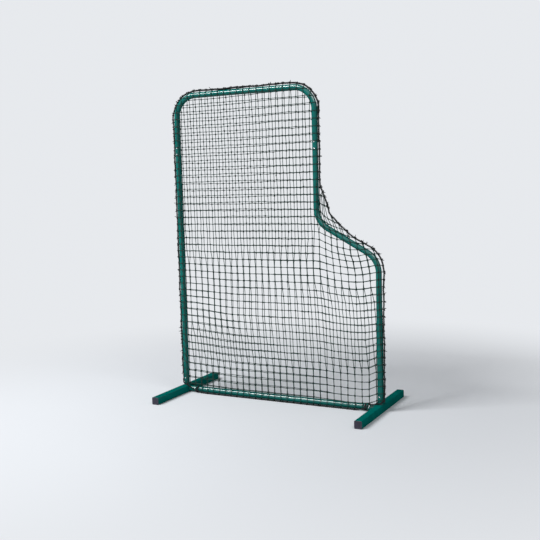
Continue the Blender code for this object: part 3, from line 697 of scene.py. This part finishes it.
def gather(x, z):
    """The spare netting outside the notch lies in folds, at about half its width."""
    _, off, outward = surface_depth(x, z)
    here = smooth((x - upper_x + 0.01) / 0.04) * smooth((z - lower_bend_z + 0.05) / 0.08)
    here = here * smooth((upper_bend_z + LEAD_ABOVE - z) / 0.06)
    move = 0.5 * np.maximum(off - 0.010, 0) * here
    return x - outward[..., 0] * move, z - outward[..., 1] * move


def part_round_buttons(x, z, knot):
    """The front layer lies beside the buttons: knots a knot's width away, strands above or below."""
    x, z = x.copy(), z.copy()
    for bx, bz, _ in BUTTONS.values():
        near = (np.abs(x - bx) < BUTTON_CLEAR) & (np.abs(z - bz) < BUTTON_CLEAR)
        if knot:
            x[near] = bx + np.where(x[near] < bx, -BUTTON_CLEAR, BUTTON_CLEAR)
        beside = (np.abs(x - bx) < BUTTON_BESIDE) & (np.abs(z - bz) < STRAND_CLEAR)
        z[beside] = bz + np.where(z[beside] < bz, -STRAND_CLEAR, STRAND_CLEAR)
    return x, z


def inside(x, z, ring):
    hit = np.zeros(x.shape, bool)
    for (x1, z1), (x2, z2) in zip(ring, np.roll(ring, -1, 0)):
        if z1 != z2:
            hit ^= ((z1 > z) != (z2 > z)) & (x < (x2 - x1) * (z - z1) / (z2 - z1) + x1)
    return hit


def crossing(a, b, ring):
    """Where the stretch from a to b leaves the ring: share of the stretch, ring segment, share of it."""
    d, e, r = b - a, np.roll(ring, -1, 0) - ring, ring - a
    cross = d[0] * e[:, 1] - d[1] * e[:, 0]
    cross[np.abs(cross) < 1e-12] = np.nan
    t = (r[:, 0] * e[:, 1] - r[:, 1] * e[:, 0]) / cross
    u = (r[:, 0] * d[1] - r[:, 1] * d[0]) / cross
    t[~((0 <= t) & (t <= 1) & (0 <= u) & (u <= 1))] = np.inf
    n = int(np.argmin(t))
    return (t[n], n, u[n]) if t[n] <= 1 else None


# A small closed knot of twine, a trefoil
KNOT_STEPS, KNOT_REACH, KNOT_STRAND = 18, 0.0041, 0.0028
t = np.arange(KNOT_STEPS) / KNOT_STEPS * 2 * pi
trefoil = [np.sin(t) + 1.6 * np.sin(2 * t), 0.85 * -np.sin(3 * t), np.cos(t) - 1.6 * np.cos(2 * t)]
KNOT = sweep(np.stack(trefoil, -1) * KNOT_REACH / 2.6, KNOT_STRAND, 4, closed=True)


def net_layer(name, front):
    """One layer: its strands and a knot at each crossing. Gives the strands' ends on the border."""
    outline = border_outline(front)
    ring = outline[:, ::2]
    side = -1 if front else 1
    i, k = np.meshgrid(np.arange(-1, COLUMNS + 2), np.arange(-1, ROWS + 1), indexing="ij")
    x, z = gather(*settle(FIRST_COLUMN - MESH_WIDE * i, FIRST_ROW - MESH_HIGH * k, front))
    x = x + rng.normal(0, KNOT_SCATTER, x.shape)
    z = z + rng.normal(0, KNOT_SCATTER, x.shape)
    if front:
        x, z = part_round_buttons(x, z, True)
    kept = inside(x, z, ring)
    depth, off, _ = surface_depth(x, z)
    strands, knots, ends = [], [], []

    def at(p):
        if front:
            p = np.stack(part_round_buttons(p[:, 0], p[:, 1], False), -1)
        d, _, _ = surface_depth(p[:, 0], p[:, 1])
        return np.stack([p[:, 0], side * d, p[:, 1]], -1)

    def tail(inner, place):
        """A strand's last stretch, from its last knot towards the place past the border."""
        outer = np.array([x[place], z[place]])
        hit = crossing(inner, outer, ring)
        if hit is None:
            return np.zeros((0, 3))
        share, n, u = hit
        p, q = outline[n], outline[(n + 1) % len(outline)]
        end = p + u * (q - p)
        ends.append((end, q - p))
        steps = max(ceil(share * 6), 1)
        points = [inner + (outer - inner) * share * s / steps for s in range(1, steps)]
        return np.concatenate([at(np.reshape(points, (-1, 2))), end[None]])

    def strand(run, before, after):
        """run: lattice places of a stretch inside the edge; before and after: the places past its ends."""
        flat = [np.array([x[r], z[r]]) for r in run]
        points = [a + s * (b - a) for a, b in zip(flat, flat[1:]) for s in (0, 1 / 3, 2 / 3)]
        points = at(np.array([*points, flat[-1]]))
        for start in (1, 2):
            between = points[start::3]
            between[:, 1] += side * np.abs(rng.normal(0, STRAND_WAVE, len(between)))
        points = np.concatenate([tail(flat[0], before)[::-1], points])
        if after:
            points = np.concatenate([points, tail(flat[-1], after)])
        if len(points) > 1:
            strands.append(sweep(points, TWINE_RADIUS, 6))

    def lattice_line(places):
        """One strand for each stretch of a lattice line that lies inside the border."""
        run = []
        for n, place in enumerate([*places, None]):
            if place and kept[place]:
                run.append(place)
            elif run:
                strand(run, places[n - len(run) - 1], place)
                run = []

    wide, high = x.shape
    for row in range(high):
        lattice_line([(column, row) for column in range(wide)])
    for column in range(wide):
        lattice_line([(column, row) for row in range(high)])

    for place in zip(*np.nonzero(kept)):
        turn = rng.uniform(-0.3, 0.3) + (pi if rng.random() < 0.5 else 0)
        tilt = asin(np.clip(off[place] / lie, 0, 0.95)) * (1 if (place[0] < COLUMNS / 2) == front else -1)
        knot = turn_knot((turn, "Y"), (tilt, "Z"), rng.uniform(0.9, 1.12))
        knots.append((raised(knot + [x[place], side * depth[place], z[place]]), *KNOT[1:]))
    if front:
        mend = np.unravel_index(np.argmin(np.hypot(x - MENDED_KNOT[0], z - MENDED_KNOT[1])), x.shape)
        start = np.array([x[mend], side * (depth[mend] + 0.003), z[mend]])
        strands.append(sweep(smooth_line(start + MEND_END * np.array(MEND_SHAPE), 0.003), TWINE_RADIUS, 6))
    new_object(f"{name}_strands", joined(strands), TWINE, replaces=(f"{name}_panel",))
    new_object(f"{name}_knots", joined(knots), SHADED_KNOT_TWINE)
    return ends


front_ends = net_layer("net_front", True)
rear_ends = net_layer("net_rear", False)

# ---- Cords: the border cord, the rear hem cord, their lacing and the ends of the net's strands


def laid_cord(name, points, closed, nodes_replaced):
    """A three-strand cord with the twine that laces the net to it wound along it."""
    if closed:
        points = np.concatenate([points, points[:1]])
    line = smooth_line(points, 0.0032)
    if closed:
        line = line[:-1]
    length = np.linalg.norm(np.diff(line, axis=0), axis=1).sum()
    lay = {"turns": round(length / CORD_LAY), "lobes": CORD_STRANDS, "lobe_depth": CORD_GROOVE}
    new_object(name, sweep(line, CORD_RADIUS, 12, closed, **lay), ROPE, replaces=nodes_replaced)
    side, other = frames_along(line, closed)
    along = np.arange(len(line)) * length / (len(line) - 1)
    at = np.arange(0, along[-1], LACE_STEP)
    axis, side, other = (read_off(at, along, rows) for rows in (line, side, other))
    # The turns lie close round the frame, and far apart and thin near the ground
    full = rise(axis[:, 2], 0.05, 0.06)
    pitch = 0.0150 - 0.0080 * full + 0.0012 * np.sin(at * 9.0) + 0.0009 * np.sin(at * 31.0)
    turn = 2 * pi * np.cumsum(LACE_STEP / pitch)
    thick = LACE_RADIUS * (0.5 + 0.5 * full)
    reach = (CORD_RADIUS + thick * 0.8)[:, None]
    lace = axis + reach * around(turn, side, other)
    lace[:, 2] = np.maximum(lace[:, 2], thick + 0.0002)
    new_object(f"{name}_lacing", sweep(lace, thick, 5), LACE)


laid_cord("border_cord", border_outline(True), True, ("net_border_cord",))
laid_cord("rear_hem_cord", np.array([*rear_left, *rear_right]), False, ("net_rear_hem_cord",))

LOW = 0.07
TAIL_SHARE = 0.62
TAIL_STEPS, TAIL_TAPER = (0, 0.35, 0.7, 1.0), np.array([1.0, 1.0, 0.95, 0.8])


def lashings(name, ends):
    """Turns of twine round the cord where each strand ends, some with short tails."""
    bodies = []
    for centre, along in ends:
        if np.linalg.norm(along) < 1e-9:
            continue
        along = unit(along)
        u = unit(np.cross(along, across_axis(along)))
        v = np.cross(along, u)
        reach = CORD_RADIUS + TWINE_RADIUS * 0.7
        turns = rng.choice([1.0, 1.6, 2.1])
        steps = int(9 * turns) + 2
        angles = rng.uniform(0, 2 * pi) + np.linspace(0, 2 * pi * turns, steps)
        run = np.linspace(-0.5, 0.5, steps) * 0.0033 * turns
        low = min(0.0, centre[2] - reach - TWINE_RADIUS - GROUND_ROOM)
        loop = centre + reach * around(angles, u, v) + run[:, None] * along - [0, 0, low]
        bodies.append(sweep(loop, TWINE_RADIUS * 0.95, 5))
        # The knot and its tail point away from the net, or off the ground near it
        out = np.array([centre[0], 0, centre[2] - 1.1])
        if centre[2] < LOW:
            out = np.array([0, np.sign(centre[1]) or -1.0, 0.8])
        out = unit(out - along * (out @ along))
        then, first = rng.uniform(0, 6.28), rng.uniform(0, 6.28)
        knob = turn_knot((first, "X"), (then, "Y"), rng.uniform(0.75, 1.1)) + centre + out * (reach * 0.9)
        bodies.append((raised(knob, 0.0002), *KNOT[1:]))
        if rng.random() < TAIL_SHARE and centre[2] > LOW:
            out = unit(out + rng.normal(0, 0.45, 3) + [0, 0, -0.3])
            length = rng.uniform(0.007, 0.016)
            bend = rng.normal(0, 0.25, 3)
            tail = [centre + out * (reach - 0.001 + length * s) + bend * length * s * s * 0.5 for s in TAIL_STEPS]
            bodies.append(sweep(tail, TWINE_RADIUS * TAIL_TAPER, 5))
    new_object(name, joined(bodies), LACE)


lashings("net_front_lashing", front_ends)
lashings("net_rear_lashing", rear_ends)

# ---- Frame tubes


def in_bmesh(meshes, work, result):
    """Puts the meshes together, works on them and writes them into result."""
    bm = bmesh.new()
    for mesh in meshes:
        bm.from_mesh(mesh)
    work(bm)
    bm.to_mesh(result)
    bm.free()
    return result


def bored(mesh, verts):
    """The mesh with round holes for the buttons that it holds cut through its front wall."""
    (left, _, low), (right, _, high) = verts.min(0), verts.max(0)

    def drills(bm):
        for x, z, _ in BUTTONS.values():
            if not (left < x < right and low < z < high):
                continue
            bmesh.ops.create_cone(
                bm, cap_ends=True, segments=32, radius1=BUTTON_HOLE_RADIUS, radius2=BUTTON_HOLE_RADIUS,
                depth=TUBE_RADIUS,
                matrix=Matrix.Translation((x, -TUBE_RADIUS, z)) @ Matrix.Rotation(pi / 2, 4, "X"),
            )

    body = placed("wall", mesh)
    bore = placed("bore", in_bmesh((), drills, bpy.data.meshes.new("bore")))
    cut = body.modifiers.new("bore", "BOOLEAN")
    cut.object = bore
    cut.solver = "EXACT"
    result = bpy.data.meshes.new_from_object(body.evaluated_get(bpy.context.evaluated_depsgraph_get()))
    for obj in (body, bore):
        bpy.data.objects.remove(obj)
    return result


def outwards(bm):
    bmesh.ops.recalc_face_normals(bm, faces=bm.faces)


def finished(name, body_shape, material, node_name, body="root", sharp=35, holed=False, extra=None):
    """A piece from (vertices, faces), holed for its buttons or not; extra is a second body joined to it."""
    parts = []
    for shape in (body_shape, extra):
        if shape:
            mesh = mesh_from(name, *shape)
            parts.append(in_bmesh((mesh,), outwards, mesh))
    if holed:
        parts[0] = bored(parts[0], body_shape[0])
    if extra:
        in_bmesh(parts, lambda bm: None, parts[0])
    parts[0].name = name
    return new_object(name, parts[0], material, body, (node_name,), sharp)


half = SPLICE_GAP / 2
foot_end = FOOT_SIZE + tube_end_gap
rail_end = foot_inner_x - tube_end_gap
radii = TUBE_RADIUS, TUBE_RADIUS - TUBE_WALL
for name, node_name, points in (
    ("hoop_tube", "top_hoop", [(-outer_x, splice_z + half), *left_bend, *right_bend, (upper_x, splice_z + half)]),
    ("left_upright_tube", "left_upright", [(-outer_x, foot_end), (-outer_x, splice_z - half)]),
    ("right_upright_tube", "right_upright",
     [(upper_x, splice_z - half), *notch_bend, *lower_bend, (outer_x, foot_end)]),
    ("bottom_rail_tube", "bottom_rail", [(-rail_end, rail_z), (rail_end, rail_z)]),
):
    line = [(x, 0.0, z) for x, z, *_ in points]
    outer, inner = (sweep(line, radius, TUBE_SIDES)[0].reshape(-1, TUBE_SIDES, 3) for radius in radii)
    finished(name, lofted([*outer, *inner[::-1]], closed=True), PAINT, node_name, holed=True)

# ---- Feet, caps, spigots, sleeves, buttons, springs and ties


def square_ring(size, corner, side, y):
    """A rounded square round the middle of a foot's tube."""
    middle = size / 2 - corner
    points = []
    for quarter in range(4):
        turn = quarter * pi / 2
        cx = middle * (cos(turn) - sin(turn))
        cz = middle * (sin(turn) + cos(turn))
        for x, z, *_ in arc((cx, cz), corner, turn, turn + pi / 2, 6):
            points.append((x + side * outer_x, y, z + FOOT_SIZE / 2))
    return np.array(points)


def round_rings(profile, sides):
    """Rings round the Z axis, one for each (radius, height)."""
    ring = np.arange(sides) / sides * 2 * pi
    return [np.stack([r * np.cos(ring), r * np.sin(ring), np.full(sides, h)], -1) for r, h in profile]


def foot_tube(name, side):
    length = FOOT_LENGTH / 2 - CAP_FLANGE - FIT_GAP
    outside = (FOOT_SIZE, FOOT_CORNER)
    chamfered = (FOOT_SIZE - 2 * FOOT_CHAMFER, FOOT_CORNER - FOOT_CHAMFER)
    bore = (FOOT_SIZE - 2 * FOOT_WALL, FOOT_CORNER - FOOT_WALL)
    rings = [
        (*chamfered, -length), (*outside, -length + FOOT_CHAMFER),
        *((*outside, y) for y in np.linspace(-length + 0.02, length - 0.02, 25)),
        (*outside, length - FOOT_CHAMFER), (*chamfered, length), (*bore, length), (*bore, -length),
    ]
    shape = lofted([square_ring(size, corner, side, y) for size, corner, y in rings], closed=True)
    finished(f"{name}_foot_square_tube", shape, PAINT, f"{name}_foot_tube")


CAP_FACE = [
    (FIT_GAP, 0.0013), (0.0006, 0.0006), (0.0011, 0.0002), (0.0018, 0), (0.0055, 0), (0.006, 0.0002),
    (0.0064, 0.0006), (0.0072, 0.0007), (0.012, 0.0006), (0.018, 0.0004), (0.0235, 0.0003),
]


def foot_cap(name, side, end, end_name):
    """A moulded end plug: its wall inside the tube, then its face, dished a little."""
    plug = FOOT_WALL + FIT_GAP
    profile = [
        (plug + 0.002, 0.0), (plug + 0.002, -CAP_PLUG), (plug + 0.0003, -CAP_PLUG), (plug, 0.0015 - CAP_PLUG),
        (plug, 0.0), (FIT_GAP, 0.0), *((inset, CAP_FLANGE - drop) for inset, drop in CAP_FACE),
    ]
    rings = []
    for inset, past in profile:
        y = end * (FOOT_LENGTH / 2 - CAP_FLANGE + past)
        rings.append(square_ring(FOOT_SIZE - 2 * inset, max(FOOT_CORNER - inset, 0.0008), side, y))
    shape = lofted(rings, fill=(0, len(rings) - 1))
    finished(f"{name}_{end_name}_moulded_cap", shape, PLASTIC, f"{name}_foot_{end_name}_cap")


def inner_tube(low, high, evens, start=None):
    """Rings of a short inner tube from low to high; start replaces the eased lower end."""
    eased = [(INNER_RADIUS - INNER_END_INSET, low), (INNER_RADIUS, low + INNER_END_LENGTH)]
    bore = INNER_RADIUS - INNER_WALL
    profile = [
        *(start or eased), *((INNER_RADIUS, h) for h in evens), (INNER_RADIUS, high - INNER_END_LENGTH),
        (INNER_RADIUS - INNER_END_INSET, high), (bore, high), (bore, low),
    ]
    return round_rings(profile, 48)


def spigot(name, matrix, node_name):
    """A short tube welded on at its own height 0, with a rippled bead."""
    start = [(INNER_RADIUS, 0.0), (INNER_RADIUS, 0.004)]
    rings = inner_tube(0.0, SPIGOT_LENGTH, np.linspace(0.012, SPIGOT_LENGTH - 0.006, 9), start)
    bead_rings = []
    many = 168
    wander = rng.uniform(0, 6.28, 3)
    section = np.arange(8) / 8 * 2 * pi
    for n in range(many):
        a = n / many * 2 * pi
        ripple = 1 + 0.13 * abs(sin(a * 21)) + 0.05 * sin(3 * a + wander[0])
        ripple += 0.03 * sin(7 * a + wander[1])
        radial = INNER_RADIUS + 0.0006 + 0.0023 * ripple * np.cos(section)
        height = np.maximum(0.0007 + 0.0020 * ripple * np.sin(section), 0.0)
        bead_rings.append(np.stack([radial * cos(a), radial * sin(a), height], -1))
    wall, bead = (
        (np.array([matrix @ Vector(v) for v in verts]), faces)
        for verts, faces in (lofted(rings, closed=True), lofted(bead_rings, closed=True))
    )
    finished(f"{name}_welded_spigot", wall, PAINT, node_name, holed=True, extra=bead)


def sleeve(name, x):
    end = SLEEVE_LENGTH / 2
    verts, faces = lofted(inner_tube(-end, end, np.linspace(-end + 0.01, end - 0.01, 11)), closed=True)
    verts += [x, 0.0, splice_z]
    finished(f"{name}_joint_sleeve", (verts, faces), STEEL, f"{name}_splice_sleeve", holed=True)


def press_button(name, x, z):
    """A stud with a domed crown that looks out through the tube's front wall."""
    shoulder = BUTTON_HEIGHT - BUTTON_CROWN
    profile = [(BUTTON_RADIUS - BUTTON_EDGE, 0.0), (BUTTON_RADIUS, BUTTON_EDGE), (BUTTON_RADIUS, shoulder)]
    for step in range(1, 8):
        a = step / 8 * pi / 2
        profile.append((BUTTON_RADIUS * cos(a) ** 0.8, shoulder + BUTTON_CROWN * sin(a)))
    sides = 32
    verts, faces = lofted(round_rings(profile, sides), fill=(0,))
    top, first = len(verts), len(verts) - sides
    verts = np.concatenate([verts, [[0, 0, BUTTON_HEIGHT]]])
    faces += [(first + j, first + (j + 1) % sides, top) for j in range(sides)]
    verts = np.stack([x + verts[:, 0], -BUTTON_BASE - verts[:, 2], z + verts[:, 1]], -1)
    finished(f"{name}_dome", (verts, faces), CHROME, name, name, sharp=50)


def straight_between(a, b, steps):
    return [(a[0] + s * (b[0] - a[0]), a[1] + s * (b[1] - a[1])) for s in np.linspace(0, 1, steps + 1)[1:-1]]


def leaf_spring(name, x, z, turn):
    """A hairpin of strip inside the bore, behind its button."""
    bend_end = (LEAF_LENGTH - LEAF_BEND, 0)
    bend = [(a, b) for a, b, *_ in arc(bend_end, LEAF_BEND, -pi / 2, pi / 2, 16)]
    front, back = ([(a, y) for a in (-LEAF_FLAT, 0.0, LEAF_FLAT)] for y in (-LEAF_DEPTH, LEAF_DEPTH))
    route = [*front, *straight_between(front[-1], bend[0], 8), *bend]
    route = np.array([*route, *straight_between(bend[-1], back[-1], 8), *back[::-1]])
    tangent = np.gradient(route, axis=0)
    tangent /= np.linalg.norm(tangent, axis=1)[:, None]
    normal = np.stack([-tangent[:, 1], tangent[:, 0]], -1)
    t, w, e = LEAF_THICKNESS / 2, LEAF_WIDTH / 2, LEAF_EDGE
    section = [(-t, e - w), (e - t, -w), (t - e, -w), (t, e - w), (t, w - e), (t - e, w), (e - t, w), (-t, w - e)]
    rings = [
        np.array([(point[0] + n[0] * deep, point[1] + n[1] * deep, wide) for deep, wide in section])
        for point, n in zip(route, normal)
    ]
    verts, faces = lofted(rings, fill=(0, len(rings) - 1))
    matrix = Matrix.Translation((x, 0, z)) @ Matrix.Rotation(turn, 4, "Y")
    shape = (np.array([matrix @ Vector(v) for v in verts]), faces)
    piece = finished(f"{name}_leaf", shape, STEEL, f"{name}_spring", None)
    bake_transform(piece)


TIE_ENDS = [(0.001, 0, 0), (0.005, -0.003, 0.0015), (0.008, -0.0065, -0.002), (0.0095, -0.0085, -0.0075)]


def rail_tie(name, x):
    """Turns of cord round the rail and the two hem cords, tied off with a knot and two short ends."""
    drop = rail_z - TIE_HEIGHT
    rail_reach = TUBE_RADIUS + FIT_GAP + TIE_RADIUS
    rope_reach = CORD_RADIUS + FIT_GAP + TIE_RADIUS
    tangent = acos((rail_reach - rope_reach) / hypot(front_lie, drop))
    slope = atan2(drop, front_lie)
    upper, lower = tangent - slope, tangent + slope
    turn = []
    for centre, reach, first, last, steps in (
        ((0, rail_z), rail_reach, upper, pi - upper, 12),
        ((-front_lie, TIE_HEIGHT), rope_reach, pi - upper, pi + lower, 12),
        ((0, rail_z), rail_reach, pi + lower, 2 * pi - lower, 3),
        ((front_lie, TIE_HEIGHT), rope_reach, 2 * pi - lower, 2 * pi + upper, 12),
    ):
        turn += [(y, z) for y, z, *_ in arc(centre, reach, first, last, steps)]
    count = int(TIE_TURNS * len(turn))
    loops = [turn[i % len(turn)] for i in range(count)]
    run = TIE_PITCH * TIE_TURNS
    route = [(x + run * (i / (count - 1) - 0.5), y, z) for i, (y, z) in enumerate(loops)]
    bodies = [sweep(resample(route, 0.0016), TIE_RADIUS, 8)]
    knot_at = np.array([x + 0.001, -TUBE_RADIUS * 0.80, rail_z + TUBE_RADIUS * 0.80])
    bodies.append((turn_knot((radians(45), "X"), (0.0, "Y"), 0.95) + knot_at, *KNOT[1:]))
    for sign in (-1, 1):
        tail = knot_at + np.array([(sign * a, b, c) for a, b, c in TIE_ENDS])
        bodies.append(sweep(smooth_line(tail, 0.0015), TIE_RADIUS * 0.95, 8))
    new_object(f"{name}_lashing", joined(bodies), ROPE, replaces=(name,))


for side, name, splice_x in SIDES:
    foot_tube(name, side)
    foot_cap(name, side, -1, "front")
    foot_cap(name, side, 1, "rear")
    post = Matrix.Translation((side * outer_x, 0, FOOT_SIZE + FIT_GAP))
    spigot(f"{name}_post", post, f"{name}_foot_post")
    stub = Matrix.Translation((side * (foot_inner_x - FIT_GAP), 0, rail_z))
    stub = stub @ Matrix.Rotation(-side * pi / 2, 4, "Y")
    spigot(f"{name}_stub", stub, f"{name}_rail_stub")
    sleeve(name, splice_x)
    rail_tie(f"{name}_rail_tie", side * (outer_x - TIE_INSET))
    for button, (x, z, turn) in BUTTONS.items():
        if button.startswith(name):
            press_button(button, x, z)
            leaf_spring(button, x, z, turn)

# ---- Stage and light


def seen_directly(g):
    """1 for rays from the camera, from gloss and through glass; 0 for the light that falls on things."""
    rays = g.add("LightPath")
    seen = g.math("MAXIMUM", rays["Is Camera Ray"], rays["Is Glossy Ray"])
    return g.math("MAXIMUM", seen, rays["Is Transmission Ray"])


g = Graph(bpy.data.materials.new("pale_floor"))
grain = g.noise(None, scale=30.0, detail=4.0)
tone = g.ramp(grain, (0.3, shade(PALE, 0.97)), (0.7, PALE))
FLOOR = g.surface({"Base Color": tone, "Roughness": 0.9, "Specular IOR Level": 0.1})
where = g.add("TexCoord")["Object"]
distance = g.add("VectorMath", {0: where}, operation="LENGTH")["Value"]
far = g.span(distance, source=(1.0, 3.6), kind="SMOOTHSTEP")
glow = g.add("Emission", {"Color": PALE})["Emission"]
near = g.nodes["Principled BSDF"].outputs["BSDF"]
blended = g.add("MixShader", {0: g.math("MULTIPLY", far, seen_directly(g)), 1: near, 2: glow})
g.feed(g.nodes["Material Output"], {"Surface": blended["Shader"]})
floor_mesh = bpy.data.meshes.new("floor")
floor_mesh.from_pydata([(-40, -40, 0), (40, -40, 0), (40, 40, 0), (-40, 40, 0)], [], [(0, 1, 2, 3)])
floor_mesh.materials.append(FLOOR)
floor = placed("floor", floor_mesh)

world = bpy.data.worlds.new("studio")
scene.world = world
g = Graph(world)
g.feed(g.nodes["Background"], {"Color": PALE, "Strength": g.span(seen_directly(g), target=(0.25, 1.0))})


def area_light(name, place, target, size, power, colour=(1, 1, 1)):
    data = bpy.data.lights.new(name, "AREA")
    data.shape = "RECTANGLE"
    data.size, data.size_y = size
    data.energy = power
    data.color = colour
    obj = placed(name, data)
    obj.location = place
    obj.rotation_mode = "QUATERNION"
    obj.rotation_quaternion = (Vector(target) - Vector(place)).to_track_quat("-Z", "Y")


area_light("softbox", (-3.8, -4.4, 6.6), (-3.8, 0, 1.6), (5.0, 1.1), 670, (0.98, 0.99, 1.0))
area_light("fill", (3.8, -2.0, 5.5), (0, 0, 0.6), (3.0, 2.0), 70)

scene.view_settings.view_transform = "Standard"
